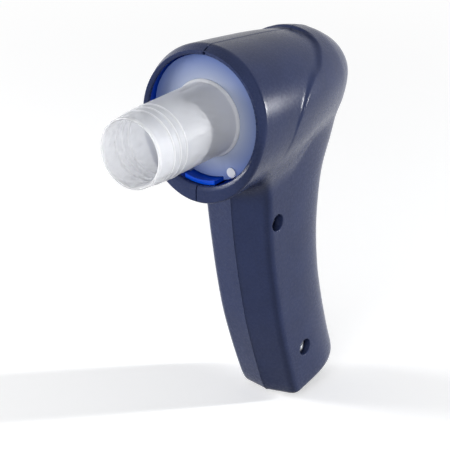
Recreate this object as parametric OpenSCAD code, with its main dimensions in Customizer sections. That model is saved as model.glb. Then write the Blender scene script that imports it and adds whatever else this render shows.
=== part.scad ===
/* [Barrel] */
// Half width of the barrel across the rim
rim_half_w = 31.6; // [31:0.1:36]
// Half height of the barrel at the rim
rim_half_h = 33.7; // [33:0.1:38]
// Height of the rim's middle below the flow axis
rim_drop = 1.9; // [0.5:0.1:3]
// Distance from the flange face forward to the middle of the rim's outer edge
rim_ahead = 3; // [2:0.1:4]
// Backward tilt of the rim's outer edge, in degrees
rim_tilt = 8.5; // [6:0.5:10]
// Radius of the opening in the rim
opening_r = 27.9; // [27.7:0.1:28.2]
// Distance from the flange face forward to the middle of the opening's edge
opening_ahead = 5.5; // [4.5:0.1:7]
// Backward tilt of the opening's edge, in degrees
opening_tilt = 5.3; // [3:0.1:7]
// Length of the barrel from the rim's middle to the rear end
barrel_len = 86; // [84:0.5:95]
// Thickness of the housing wall
wall = 2.2; // [1.6:0.1:2.4]
// Height of the rear flow above the barrel's surface
rear_step = 1; // [0.4:0.1:2]

/* [Handle] */
// Half width of the handle
handle_half_w = 16.2; // [15.5:0.1:20]
// Length of the handle from the flow axis down to its nose
handle_drop = 145; // [142:1:160]
// Reach of the handle from the flange face to its rearmost point
handle_reach = 84; // [82:0.5:92]

/* [Flow transducer] */
// Length of the mouth tube ahead of the flange face
mouth_len = 52.5; // [40:0.5:70]
// Outer radius of the mouth tube at the flange
tube_r = 16; // [15.8:0.1:16.3]
// Outer radius of the mouth tube at its open end
mouth_r = 15.2; // [14.9:0.1:15.8]
// Length of the tapered stretch at the open end
taper_len = 20; // [18:0.5:30]
// Radius of the bore along the whole transducer
bore_r = 14.3; // [13.6:0.1:14.4]
// Radius of the flange
flange_r = 27.4; // [27.2:0.1:27.6]
// Thickness of the flange
flange_t = 1.8; // [1.4:0.1:2.4]
// Width of the bright ring at the tube's base
base_ring = 0.9; // [0.5:0.1:1.2]
// Distance of the first grip ring from the open end
ring_first = 9.3; // [4:0.1:11]
// Spacing of the grip rings
ring_pitch = 3.95; // [2:0.05:5]
// Number of grip rings
ring_count = 3; // [1:1:4]
// Height of a grip ring
ring_h = 0.4; // [0.2:0.05:0.6]
// Width of a grip ring
ring_w = 0.9; // [0.5:0.1:1.5]
// Wall of the rear tube
rear_wall = 2; // [1.6:0.1:2.1]
// Draft that narrows the rear tube's bore
rear_draft = 0.4; // [0.2:0.1:0.8]
// Distance from the rear tube's end to the housing's rear end
rear_stop = 25; // [24:0.5:32]
// Distance of each pressure port from the flow axis
port_pitch_r = 25; // [24.6:0.1:25.1]
// Angle of each pressure port from straight down
port_angle = 30; // [29:0.5:34]
// Radius of a pressure port
port_r = 2.2; // [2.1:0.05:2.3]
// Radius of a port's bore
port_bore_r = 1.7; // [1.5:0.05:1.8]
// Length of a port behind the flange
port_len = 6; // [4.5:0.1:7]
// Radius of the tap hole from the tube to a port
tap_r = 0.5; // [0.3:0.05:0.6]
// Thickness of the flow screen
screen_t = 0.5; // [0.3:0.1:0.8]
// Number of threads of the screen each way
screen_threads = 9; // [5:2:11]
// Width of a thread of the screen
thread_w = 0.7; // [0.4:0.1:1]

/* [Socket] */
// Inner radius of the socket liner
liner_r = 28.3; // [28.2:0.1:28.6]
// Thickness of the socket liner
liner_t = 1; // [0.8:0.1:1.2]
// Outer radius of the liner at its back wall
liner_back_r = 27.3; // [27:0.1:28.2]
// Distance of the liner's back wall behind the flange face
liner_depth = 12; // [11.5:0.1:13]
// Thickness of the liner's back wall
back_t = 2; // [1.5:0.1:2.5]
// Outer radius of the flow duct
duct_r = 19; // [18.8:0.1:19.2]
// Thickness of the duct's wall
duct_t = 1.4; // [1.2:0.1:1.6]
// Inner radius of the exhaust ring
exhaust_r = 12.5; // [11:0.1:12.8]
// Thickness of the exhaust ring
exhaust_t = 1.2; // [0.8:0.1:1.4]

/* [Release tab] */
// Width of the release tab
tab_w = 15.2; // [12:0.1:15.6]
// Radius of the release tab's upper face
tab_r = 26.2; // [26.1:0.1:26.5]
// Thickness of the release tab
tab_t = 1.5; // [1.1:0.1:1.6]
// Distance that the release tab reaches ahead of the flange face
tab_ahead = 5.5; // [3:0.1:5.6]
// Radius of the hinge pin
pin_r = 0.8; // [0.6:0.05:0.9]
// Radius of the tab's spring
spring_r = 1.3; // [1:0.1:1.8]
// Radius of the spring's wire
wire_r = 0.25; // [0.15:0.05:0.3]
// Turns of the spring
spring_turns = 4; // [3:1:5]

/* [Screws] */
// Radius of the recess over a housing screw
recess_r = 3.8; // [3.2:0.1:4]
// Depth of the recess over a housing screw
recess_depth = 5; // [3:0.5:7]
// Radius of a housing screw's head
head_r = 2.8; // [2.4:0.1:3]
// Height of a housing screw's head
head_h = 2; // [1.2:0.1:2.4]
// Radius of a housing screw's shank
shank_r = 1.45; // [1.2:0.05:1.6]
// Height of the upper screw below the flow axis
screw_high = 52.6; // [50:0.2:56]
// Distance of the upper screw behind the handle's front
screw_high_in = 10; // [9:0.2:12]
// Height of the lower screw below the flow axis
screw_low = 121; // [118:0.2:123]
// Distance of the lower screw behind the handle's front
screw_low_in = 17.5; // [14:0.2:18]

/* [Electronics] */
// Length of the main board's wide part
board_len = 48; // [44:0.5:50]
// Width of the main board
board_w = 24; // [20:0.5:25]
// Thickness of the main board
board_t = 1.6; // [1:0.2:2]
// Lean of the main board, in degrees
board_lean = 9; // [8:0.5:10]
// Width of the board's tongue down to the socket
tongue_w = 9.5; // [9:0.1:10.5]
// Width of the data socket
usb_w = 7.8; // [7:0.1:8.4]
// Thickness of the data socket
usb_t = 3.2; // [2.6:0.1:4]
// Length of the data socket
usb_len = 9; // [7:0.1:10]
// Width of the pressure sensor
sensor_w = 12; // [10:0.5:13]
// Height of the pressure sensor's case
sensor_h = 10; // [8:0.5:12]
// Depth of the pressure sensor off the board
sensor_d = 7; // [5:0.5:8]
// Outer radius of a pressure hose
hose_r = 2; // [1.9:0.05:2.2]
// Wall of a pressure hose
hose_wall = 0.6; // [0.5:0.05:0.7]

/* [Hidden] */

// Clearances, small sizes and overruns
gap = 0.3;
seat = 0.1;
run_fit = 0.05;
over = 1;
thin = 0.02;
lip_t = 0.7;
collar_len = 6.2;
collar_t = 1.4;
screen_back = 1.2;
notch_side = 0.7;
notch_under = 0.6;
boss_proud = 0.5;
rib_t = 2;
rib_back = 20;
boss_r = 5;
insert_r = 2.6;
insert_len = 8;
board_x = -3;
board_raise = 3;
board_boss_r = 2.5;
board_screw_r = 0.85;
board_head_r = 1.6;
board_head_h = 1;
chip_t = 1.2;
socket_sink = 0.7;
can_t = 0.4;
knuckle_r = 1.8;
hinge_ahead = 0.5;
ear_w = 3;
ear_ahead = 1;
ear_back = 2;
pin_short = 0.5;
nose_len = 1;
spring_back = 1;
barb_len = 5;
barb_gap = 1;
manifold_len = 6;
port_seal_t = 0.5;
port_seal_len = 1.5;
port_seal_in = 1;
web_short = 1;
tongue_gap = 1;
usb_back_t = 1;
usb_tongue_in = 0.5;
seal_len = 2;
seal_ahead = 10;
flange_ring_t = 2;
curve_fn = 96;
small_fn = 32;
form_fn = 36;
hose_sides = 10;
hose_steps = 12;

// Colours as in the photograph
navy = [0.20, 0.22, 0.33];
frost = [0.86, 0.89, 0.95];
lilac = [0.74, 0.78, 0.90];
blue = [0.02, 0.22, 0.66];
deep_blue = [0.02, 0.16, 0.50];
black = [0.07, 0.07, 0.08];
steel = [0.72, 0.73, 0.75];
brass = [0.78, 0.63, 0.33];
board_green = [0.05, 0.30, 0.16];
silicone = [0.85, 0.86, 0.88];

// Barrel sections from the rim back: place along the barrel, then half width, top and bottom
barrel_shares = [
    [0.08, 0.995, 0.895, 1.03], [0.20, 0.985, 0.872, 0.99], [0.36, 0.955, 0.836, 0.93],
    [0.50, 0.905, 0.792, 0.86], [0.62, 0.84, 0.74, 0.78], [0.74, 0.755, 0.668, 0.68]
];
// Sections of the rear flow, which stands proud of the barrel by the step
rear_shares = [
    [0.20, 0.985, 0.872, 0.99], [0.36, 0.955, 0.836, 0.93], [0.50, 0.905, 0.792, 0.87],
    [0.62, 0.848, 0.745, 0.80], [0.745, 0.768, 0.685, 0.77], [0.86, 0.668, 0.60, 0.72],
    [0.94, 0.563, 0.490, 0.66], [0.985, 0.480, 0.420, 0.60], [1.00, 0.430, 0.385, 0.54]
];
// Front edge of the rear flow in side view: shares of the barrel's length and half height
edge_shares = [
    [0.743, 1], [0.743, 0.69], [0.737, 0.656], [0.715, 0.58], [0.66, 0.495], [0.584, 0.40],
    [0.495, 0.347], [0.397, 0.214], [0.308, -0.03], [0.262, -0.326], [0.24, -0.52],
    [0.235, -0.8], [0.27, -1.3], [1.3, -1.3], [1.3, 1]
];
// Handle stations from the top down: front y, front z, back y, back z, half width. The first few
// belong to the neck and keep to the barrel's rear end
neck_count = 3;
handle_shares = [
    [0.095, 0.097, 1.00, 0.07, 1.24], [0.143, 0.193, 0.945, 0.18, 1.11],
    [0.190, 0.276, 0.869, 0.27, 1.06], [0.208, 0.359, 0.837, 0.36, 1.03],
    [0.238, 0.469, 0.824, 0.476, 1.0], [0.283, 0.593, 0.839, 0.60, 0.995],
    [0.336, 0.717, 0.885, 0.717, 0.98], [0.407, 0.838, 0.947, 0.831, 0.95],
    [0.471, 0.934, 0.992, 0.907, 0.92], [0.502, 0.972, 1.00, 0.941, 0.89],
    [0.53, 0.995, 0.965, 0.965, 0.80]
];
// Half outline of a handle section: share of the half width, share of the depth
section_shares = [
    [0, 0], [0.5, 0.03], [0.9, 0.07], [0.98, 0.12], [1, 0.2], [1, 0.5],
    [0.95, 0.70], [0.80, 0.86], [0.48, 0.96], [0, 1]
];
// Height of the flank's upper edge as a share of the handle's length, and its outline there:
// share of the barrel's half width, share of the handle's reach
flank_share = 0.15;
flank_shares = [[0, 0.14], [0.6, 0.17], [0.69, 0.25], [0.69, 0.42], [0.6, 0.62], [0.48, 0.77], [0, 0.86]];
// Screws of the main board: shares of its width and length from its middle
board_screw_shares = [[-0.38, 0.44], [0.38, 0.44], [0, -0.44]];
// Chips: middle as shares of the board's width and length, then size as shares of its width
chip_shares = [
    [0.02, -0.02, 0.36, 0.36], [-0.30, -0.24, 0.18, 0.24], [0.28, -0.27, 0.2, 0.16],
    [-0.3, 0.0, 0.14, 0.14]
];

// Share of the way to the sensor that a hose bows out, and the screw's cross recess: shares of the head
hose_bow_share = 1.3;
cross_shares = [1.2, 0.26];

// Places along the flow axis
screen_y = flange_t + screen_back;
collar_end = flange_t + collar_len;
port_end = flange_t + port_len;
duct_front = liner_depth + back_t;
rear_end = -rim_ahead + barrel_len;
rear_len = rear_end - rear_stop;
duct_end = rear_len + rib_t;

// Radii worked out from the fits
rear_r = bore_r + rear_wall;
seat_r = rear_r + seat;
collar_r = seat_r + collar_t;
pass_r = rear_r + 2 * gap;
duct_bore_r = duct_r - duct_t;
liner_out_r = liner_r + liner_t;
pipe_r = exhaust_r + exhaust_t;
nipple_r = port_bore_r - port_seal_t;
hose_bore_r = hose_r - hose_wall;
barb_r = hose_bore_r * cos(180 / hose_sides) - seat;

// Places of the ports, the hinge and the screws
port_x = port_pitch_r * sin(port_angle);
port_z = -port_pitch_r * cos(port_angle);
slot_half = tab_w / 2 + notch_side;
hinge_y = duct_front - hinge_ahead;
hinge_z = -tab_r - pin_r / 4;
neck_reach = rear_end + rear_step;
stations = [for (i = [0:len(handle_shares) - 1]) let (s = handle_shares[i],
        reach = i < neck_count ? neck_reach : handle_reach)
    [s[0] * reach, -s[1] * handle_drop, s[2] * reach, -s[3] * handle_drop, s[4] * handle_half_w]];
front_line = [for (s = stations) [s[1], s[0]]];
back_line = [for (s = stations) [s[3], s[2]]];
screws = [
    [lookup(-screw_high, front_line) + screw_high_in, -screw_high],
    [lookup(-screw_low, front_line) + screw_low_in, -screw_low]
];
recess_floor = handle_half_w - recess_depth;
board_mid_z = -(screw_high + screw_low) / 2 + board_raise;
board_mid_y = (lookup(board_mid_z, front_line) + lookup(board_mid_z, back_line)) / 2;
board_face = board_x + board_t / 2;
tongue_y = screws[1][0] + boss_r + tongue_gap;
usb_y = tongue_y + tongue_w / 2;
base = stations[len(stations) - 1];
base_share = (usb_y - base[0]) / (base[2] - base[0]);
usb_z = base[1] + base_share * (base[3] - base[1]) + socket_sink;
sensor_y = board_mid_y - board_w / 8;
sensor_top = board_mid_z + board_len / 2 - barb_len;
barb_pitch = hose_r + barb_gap / 2;
spring_y = flange_t + spring_back;
spring_top = -tab_r - tab_t - wire_r / 2;

function along_barrel(share) = -rim_ahead + share * barrel_len;
function on_board(p) = [
    board_mid_y + p[0] * board_w * cos(board_lean) - p[1] * board_len * sin(board_lean),
    board_mid_z + p[0] * board_w * sin(board_lean) + p[1] * board_len * cos(board_lean)
];
function mix(a, b, t) = a + (b - a) * t;
function bezier(p, t) = len(p) == 1 ? p[0]
    : bezier([for (i = [0:len(p) - 2]) mix(p[i], p[i + 1], t)], t);
function unit(v) = v / norm(v);

// Straight rods and tubes along the flow axis and across it
module rod_y(r, y0, y1, fn = curve_fn) {
    translate([0, y0, 0]) rotate([-90, 0, 0]) cylinder(r = r, h = y1 - y0, $fn = fn);
}

module tube_y(r_out, r_in, y0, y1, fn = curve_fn) {
    difference() {
        rod_y(r_out, y0, y1, fn);
        rod_y(r_in, y0 - over, y1 + over, fn);
    }
}

module rod_x(r, x0, x1, y, z, fn = small_fn) {
    translate([x0, y, z]) rotate([0, 90, 0]) cylinder(r = r, h = x1 - x0, $fn = fn);
}

module block(low, high) {
    translate(low) cube(high - low);
}

// A tube swept along points, round a reference direction that never runs along the path
module sweep(points, r_out, r_in, sides, side_dir) {
    n = len(points);
    tangents = [for (i = [0:n - 1]) unit(points[min(i + 1, n - 1)] - points[max(i - 1, 0)])];
    ring = function(i, r) let (t = tangents[i], u = unit(cross(t, side_dir)), v = cross(u, t))
        [for (k = [0:sides - 1]) points[i] + r * (cos(360 * k / sides) * u + sin(360 * k / sides) * v)];
    outer = [for (i = [0:n - 1]) each ring(i, r_out)];
    inner = r_in > 0 ? [for (i = [0:n - 1]) each ring(i, r_in)] : [points[0], points[n - 1]];
    m = n * sides;
    next = function(k) (k + 1) % sides;
    skin = function(base, turn) [for (i = [0:n - 2]) for (k = [0:sides - 1])
        let (a = base + i * sides + k, b = base + i * sides + next(k), c = b + sides, d = a + sides)
        each (turn ? [[a, c, b], [a, d, c]] : [[a, b, c], [a, c, d]])];
    caps = r_in > 0
        ? [for (k = [0:sides - 1]) let (e = (n - 1) * sides)
            each [[k, m + next(k), next(k)], [k, m + k, m + next(k)],
                [e + k, e + next(k), m + e + next(k)], [e + k, m + e + next(k), m + e + k]]]
        : [for (k = [0:sides - 1]) let (e = (n - 1) * sides)
            each [[m, next(k), k], [m + 1, e + k, e + next(k)]]];
    polyhedron(concat(outer, inner), concat(skin(0, false), r_in > 0 ? skin(m, true) : [], caps));
}

// A flat oval across the barrel, a unit circle scaled to its half width, top and bottom
module oval(y, half_w, top, bottom) {
    translate([0, y, 0]) rotate([90, 0, 0]) linear_extrude(thin) {
        intersection() {
            scale([half_w, top]) circle(r = 1, $fn = form_fn);
            translate([-half_w, 0]) square([2 * half_w, top]);
        }
        intersection() {
            scale([half_w, bottom]) circle(r = 1, $fn = form_fn);
            translate([-half_w, -bottom]) square([2 * half_w, bottom]);
        }
    }
}

// The edge of the opening, which stands ahead of the rim's outer edge
module opening_slab(back, r) {
    translate([0, -opening_ahead, 0]) rotate([-opening_tilt, 0, 0]) translate([0, back, 0])
        rotate([90, 0, 0]) cylinder(r = r, h = thin, $fn = 2 * form_fn);
}

module rim_slab(inset) {
    translate([0, -rim_ahead + inset, -rim_drop]) rotate([-rim_tilt, 0, 0])
        rotate([90, 0, 0]) scale([rim_half_w - inset, rim_half_h - inset])
            cylinder(r = 1, h = thin, $fn = form_fn);
}

module barrel_form(inset) {
    hull() {
        opening_slab(inset, opening_r + lip_t);
        rim_slab(inset);
        for (s = barrel_shares)
            oval(along_barrel(s[0]), s[1] * rim_half_w - inset, s[2] * rim_half_h - inset,
                s[3] * rim_half_h - inset);
    }
}

module rear_form(inset) {
    intersection() {
        hull() for (s = rear_shares)
            oval(along_barrel(s[0]) - inset, s[1] * rim_half_w + rear_step - inset,
                s[2] * rim_half_h + rear_step - inset, s[3] * rim_half_h + rear_step - inset);
        rotate([90, 0, 90]) linear_extrude(4 * rim_half_w, center = true)
            polygon([for (e = edge_shares) [along_barrel(e[0]) + inset, e[1] * rim_half_h]]);
    }
}

// One flat section of the handle, from its front point to its back point
module handle_slab(s, inset) {
    front = [s[0], s[1]];
    back = [s[2], s[3]];
    depth = norm(back - front) - 2 * inset;
    half_w = s[4] - inset;
    lean = atan2(back[1] - front[1], back[0] - front[0]);
    outline = [for (p = section_shares) [p[0] * half_w, inset + p[1] * depth]];
    translate([0, front[0], front[1]]) rotate([lean, 0, 0]) linear_extrude(thin) {
        polygon(outline);
        mirror([1, 0]) polygon(outline);
    }
}

// The inner form stops one station short, which leaves the base its wall
module handle_form(inset) {
    last = len(stations) - (inset > 0 ? 2 : 1);
    for (i = [0:last - 1]) hull() {
        handle_slab(stations[i], inset);
        handle_slab(stations[i + 1], inset);
    }
}

// The flank that carries the barrel's underside down into the handle
module flank_form() {
    hull() {
        translate([0, 0, -flank_share * handle_drop]) linear_extrude(thin)
            polygon([for (side = [1, -1]) for (p = flank_shares)
                [side * p[0] * rim_half_w, p[1] * neck_reach]]);
        handle_slab(stations[neck_count], 0);
    }
}

module body_form(inset) {
    barrel_form(inset);
    rear_form(inset);
    handle_form(inset);
    if (inset == 0) flank_form();
}

// Everything behind the plane of the opening's edge, set back by a distance
module behind_opening(back) {
    translate([0, -opening_ahead, 0]) rotate([-opening_tilt, 0, 0])
        translate([-2 * rim_half_w, back, -2 * rim_half_h])
            cube([4 * rim_half_w, barrel_len, 4 * rim_half_h]);
}

// The liner's outside, straight ahead of the flange and narrowing to its back wall
module liner_form(extra) {
    rotate([-90, 0, 0]) rotate_extrude($fn = curve_fn) polygon([
        [0, -liner_r], [liner_out_r + extra, -liner_r], [liner_out_r + extra, 0],
        [liner_back_r + extra, duct_front + extra], [0, duct_front + extra]
    ]);
}

// Both halves of the housing in one: shell, duct ribs, screw bosses and all openings
module housing_body() {
    difference() {
        union() {
            difference() {
                body_form(0);
                body_form(wall);
            }
            intersection() {
                body_form(wall / 2);
                union() {
                    duct_rib(duct_front + rib_back, duct_r + seat);
                    duct_rib(duct_end + flange_ring_t + seat, pipe_r + seat);
                    for (s = screws) rod_x(boss_r, -2 * rim_half_w, 2 * rim_half_w, s[0], s[1]);
                    for (p = board_screw_shares) let (c = on_board(p))
                        rod_x(board_boss_r, -2 * rim_half_w, board_x - board_t / 2, c[0], c[1]);
                }
            }
        }
        rod_y(opening_r, -2 * rim_half_w, 0);
        intersection() {
            liner_form(seat);
            behind_opening(wall);
        }
        rod_y(pipe_r + seat, duct_end, rear_end + over);
        for (s = screws) {
            rod_x(recess_r, recess_floor, 2 * rim_half_w, s[0], s[1]);
            rod_x(shank_r + gap, -over, recess_floor + over, s[0], s[1]);
            rod_x(insert_r + seat, -insert_len - over, over, s[0], s[1]);
        }
        for (p = board_screw_shares) let (c = on_board(p))
            rod_x(board_screw_r + seat, board_x - 2 * board_head_r - over, board_x, c[0], c[1]);
        block([board_face - seat, usb_y - usb_w / 2 - gap, usb_z - 2 * usb_len],
            [board_face + usb_t + gap, usb_y + usb_w / 2 + gap, usb_z + usb_len]);
    }
}

// A saddle rib over the duct, open below for the hoses
module duct_rib(y, hole_r) {
    difference() {
        block([-2 * rim_half_w, y, -hole_r * cos(port_angle)], [2 * rim_half_w, y + rib_t, 2 * rim_half_h]);
        rod_y(hole_r, y - over, y + rib_t + over);
    }
}

module housing_left() {
    color(navy) intersection() {
        housing_body();
        block([-2 * rim_half_w, -barrel_len, -2 * handle_drop], [0, 2 * barrel_len, 2 * rim_half_h]);
    }
}

module housing_right() {
    color(navy) intersection() {
        housing_body();
        block([0, -barrel_len, -2 * handle_drop], [2 * rim_half_w, 2 * barrel_len, 2 * rim_half_h]);
    }
}

// The slot that the release tab lies in, through the liner's sleeve and back wall
module tab_slot() {
    block([-slot_half, -liner_r, -liner_out_r - over],
        [slot_half, duct_front + ear_back + over, hinge_z + knuckle_r + gap]);
}

module socket_liner() {
    in_back_r = mix(liner_r, liner_back_r - liner_t, liner_depth / duct_front);
    ear_x = slot_half + ear_w / 2;
    color(deep_blue) difference() {
        union() {
            difference() {
                intersection() {
                    liner_form(0);
                    behind_opening(wall + seat);
                }
                rotate([-90, 0, 0]) rotate_extrude($fn = curve_fn) polygon([
                    [0, -liner_r], [liner_r, -liner_r], [liner_r, 0],
                    [in_back_r, liner_depth], [0, liner_depth]
                ]);
            }
            tube_y(duct_r + seat + collar_t, duct_r + seat, liner_depth + over, duct_front + rib_t);
            intersection() {
                rod_y(liner_out_r, liner_depth - ear_ahead, duct_front + ear_back);
                for (side = [-1, 1])
                    block([side * ear_x - ear_w / 2, liner_depth - ear_ahead, -liner_out_r],
                        [side * ear_x + ear_w / 2, duct_front + ear_back, hinge_z + knuckle_r]);
            }
        }
        rod_y(pass_r, liner_depth - over, duct_front + over);
        tab_slot();
        rod_x(pin_r + run_fit / 2, -ear_x - ear_w, ear_x + ear_w, hinge_y, hinge_z);
        for (side = [-1, 1]) translate([side * port_x, 0, port_z])
            rod_y(nipple_r + gap, liner_depth - over, duct_front + over, small_fn);
    }
}

module flow_duct() {
    color(black) tube_y(duct_r, duct_bore_r, duct_front, duct_end);
}

module duct_seal() {
    color(black) tube_y(duct_bore_r, rear_r + seat, rear_len - seal_ahead, rear_len - seal_ahead + seal_len);
}

module exhaust_ring() {
    color(black) difference() {
        union() {
            rod_y(duct_r, duct_end, duct_end + flange_ring_t);
            rod_y(pipe_r, duct_end, rear_end);
        }
        rod_y(exhaust_r, duct_end - over, rear_end + over);
    }
}

module release_tab() {
    nose = notch_under / 2;
    color(blue) difference() {
        union() {
            intersection() {
                union() {
                    tube_y(tab_r + tab_t, tab_r, -tab_ahead, hinge_y);
                    tube_y(tab_r + tab_t, tab_r - nose, -tab_ahead, -tab_ahead + nose_len);
                }
                block([-tab_w / 2, -2 * tab_ahead, -2 * tab_r], [tab_w / 2, 2 * hinge_y, 0]);
            }
            rod_x(knuckle_r, -tab_w / 2, tab_w / 2, hinge_y, hinge_z);
        }
        rod_x(pin_r + run_fit, -tab_w, tab_w, hinge_y, hinge_z);
    }
}

module hinge_pin() {
    reach = slot_half + ear_w - pin_short;
    color(steel) rod_x(pin_r, -reach, reach, hinge_y, hinge_z);
}

// The spring stands on the housing's floor under the release tab
module tab_spring() {
    floor_z = -lookup(spring_y, [for (s = barrel_shares) [along_barrel(s[0]), s[3] * rim_half_h]]) + wall;
    steps = 12 * spring_turns;
    rise = spring_top - floor_z - 2.5 * wire_r;
    points = [for (i = [0:steps]) [
        spring_r * cos(360 * spring_turns * i / steps),
        spring_y + spring_r * sin(360 * spring_turns * i / steps),
        floor_z + 1.5 * wire_r + rise * i / steps
    ]];
    color(steel) sweep(points, wire_r, 0, 6, [0, 0, 1]);
}

module port_manifold() {
    half_w = port_x + 1.5 * port_r;
    back = duct_front + manifold_len;
    color(black) difference() {
        union() {
            block([-half_w, duct_front, port_z - port_r], [half_w, back, port_z + nipple_r]);
            for (side = [-1, 1]) translate([side * port_x, 0, port_z]) {
                rod_y(nipple_r, collar_end / 2, duct_front + over, small_fn);
                rod_y(barb_r, duct_front + over, back + barb_len, small_fn);
            }
        }
        for (side = [-1, 1]) translate([side * port_x, 0, port_z])
            rod_y(tap_r, 0, back + barb_len + over, small_fn);
    }
}

module port_seals() {
    back = port_end - port_seal_in;
    color(black) for (side = [-1, 1]) translate([side * port_x, 0, port_z])
        tube_y(port_bore_r - run_fit, nipple_r, back - port_seal_len, back, small_fn);
}

// A hose from the manifold's barb down to the sensor's barb
module hose(side) {
    start = [side * port_x, duct_front + manifold_len, port_z];
    finish = [board_face + sensor_d / 2, sensor_y + side * barb_pitch, sensor_top];
    reach = hose_bow_share * (sensor_y - duct_front);
    course = [start, start + [0, reach / 2, 0], [start[0], start[1] + reach, start[2]],
        [finish[0], finish[1], start[2] - reach / 3], finish + [0, 0, reach / 2], finish];
    points = [for (i = [0:hose_steps]) bezier(course, i / hose_steps)];
    color(silicone) sweep(points, hose_r, hose_bore_r, hose_sides, [1, 0, 0]);
}

module pressure_hose_left() {
    hose(-1);
}

module pressure_hose_right() {
    hose(1);
}

module pressure_sensor() {
    color(black) {
        block([board_face, sensor_y - sensor_w / 2, sensor_top - sensor_h],
            [board_face + sensor_d, sensor_y + sensor_w / 2, sensor_top]);
        for (side = [-1, 1])
            translate([board_face + sensor_d / 2, sensor_y + side * barb_pitch, sensor_top - over])
                cylinder(r = barb_r, h = barb_len, $fn = small_fn);
    }
}

module main_board() {
    color(board_green) difference() {
        union() {
            translate([board_x - board_t / 2, board_mid_y, board_mid_z]) rotate([board_lean, 0, 0])
                translate([0, -board_w / 2, -board_len / 2]) cube([board_t, board_w, board_len]);
            block([board_x - board_t / 2, tongue_y, usb_z + usb_len / 2],
                [board_face, tongue_y + tongue_w, board_mid_z - board_len / 4]);
        }
        for (p = board_screw_shares) let (c = on_board(p))
            rod_x(board_screw_r + seat, board_x - board_t, board_x + board_t, c[0], c[1]);
    }
}

module board_chips() {
    color(black) translate([board_face, board_mid_y, board_mid_z]) rotate([board_lean, 0, 0])
        for (c = chip_shares)
            translate([0, (c[0] - c[2] / 2) * board_w, c[1] * board_len - c[3] * board_w / 2])
                cube([chip_t, c[2] * board_w, c[3] * board_w]);
}

module usb_socket() {
    color(steel) {
        difference() {
            block([board_face, usb_y - usb_w / 2, usb_z],
                [board_face + usb_t, usb_y + usb_w / 2, usb_z + usb_len]);
            block([board_face + can_t, usb_y - usb_w / 2 + can_t, usb_z - over],
                [board_face + usb_t - can_t, usb_y + usb_w / 2 - can_t, usb_z + usb_len - usb_back_t]);
        }
        block([board_face + usb_t / 2 - can_t, usb_y - usb_w / 4, usb_z + usb_tongue_in],
            [board_face + usb_t / 2 + can_t, usb_y + usb_w / 4, usb_z + usb_len - usb_back_t / 2]);
    }
}

module board_screws() {
    color(steel) for (p = board_screw_shares) let (c = on_board(p)) {
        rod_x(board_head_r, board_face, board_face + board_head_h, c[0], c[1]);
        rod_x(board_screw_r, board_x - 2 * board_head_r, board_face + board_head_h / 2, c[0], c[1]);
    }
}

// Pan heads with a cross recess
module housing_screws() {
    color(steel) for (s = screws) difference() {
        union() {
            rod_x(head_r, recess_floor, recess_floor + head_h, s[0], s[1]);
            rod_x(shank_r, -insert_len, recess_floor + head_h / 2, s[0], s[1]);
        }
        for (turn = [0, 90]) translate([recess_floor + head_h / 2, s[0], s[1]]) rotate([turn, 0, 0])
            translate([0, -head_r * cross_shares[0] / 2, -head_r * cross_shares[1] / 2])
                cube([head_h, head_r * cross_shares[0], head_r * cross_shares[1]]);
    }
}

module screw_inserts() {
    color(brass) for (s = screws) difference() {
        rod_x(insert_r, -insert_len, -seat, s[0], s[1]);
        rod_x(shank_r + run_fit, -insert_len - over, over, s[0], s[1]);
    }
}

// Mouth tube, flange and port fronts in one moulding
module transducer_front() {
    taper_y = -mouth_len + taper_len;
    ring_y = [for (i = [0:ring_count - 1]) -mouth_len + ring_first + i * ring_pitch];
    color(frost) difference() {
        union() {
            rotate([-90, 0, 0]) rotate_extrude($fn = curve_fn) {
                polygon([
                    [bore_r, -mouth_len], [mouth_r - ring_h, -mouth_len], [mouth_r, -mouth_len + ring_h],
                    [tube_r, taper_y], [tube_r, -2 * base_ring], [tube_r + base_ring, -base_ring],
                    [tube_r + base_ring, 0], [flange_r - ring_h, 0], [flange_r, ring_h], [flange_r, flange_t],
                    [collar_r, flange_t], [collar_r, collar_end], [seat_r, collar_end],
                    [seat_r, screen_y], [bore_r, screen_y]
                ]);
                for (y = ring_y) let (r = mix(mouth_r, tube_r, (y + mouth_len) / taper_len)) polygon([
                    [r - ring_h, y - ring_w / 2], [r + ring_h, y - ring_w / 4],
                    [r + ring_h, y + ring_w / 4], [r - ring_h, y + ring_w / 2]
                ]);
            }
            for (side = [-1, 1]) {
                translate([side * port_x, 0, port_z]) rod_y(port_r, -boss_proud, port_end, small_fn);
                rotate([0, 90 - side * port_angle, 0])
                    block([collar_r - collar_t / 2, flange_t / 2, -port_r / 2],
                        [port_pitch_r, port_end - web_short, port_r / 2]);
            }
        }
        for (side = [-1, 1]) {
            translate([side * port_x, 0, port_z]) rod_y(port_bore_r, flange_t, port_end + over, small_fn);
            tap(side);
        }
        difference() {
            block([-slot_half, -over, -2 * flange_r], [slot_half, flange_t + over, 0]);
            rod_y(tab_r - notch_under, -2 * over, flange_t + 2 * over);
        }
    }
}

// Radial tap hole: ahead of the screen on one side, behind it on the other
module tap(side) {
    tap_y = side < 0 ? screen_y - tap_r - seat : screen_y + screen_t + 2 * tap_r;
    translate([0, tap_y, 0]) rotate([0, 180 - side * port_angle, 0]) translate([0, 0, bore_r - over])
        cylinder(r = tap_r, h = port_pitch_r - bore_r + over, $fn = small_fn);
}

module transducer_rear() {
    color(lilac) difference() {
        tube_y(rear_r, bore_r - rear_draft, screen_y + screen_t, rear_len);
        tap(1);
    }
}

module flow_screen() {
    pitch = 2 * bore_r / (screen_threads + 1);
    color(steel) {
        tube_y(rear_r, bore_r + gap, screen_y, screen_y + screen_t);
        intersection() {
            rod_y(bore_r + 2 * gap, screen_y, screen_y + screen_t);
            for (turn = [0, 90], i = [1:screen_threads]) rotate([0, turn, 0])
                block([-bore_r - over, screen_y, -bore_r + i * pitch - thread_w / 2],
                    [bore_r + over, screen_y + screen_t, -bore_r + i * pitch + thread_w / 2]);
        }
    }
}

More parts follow.
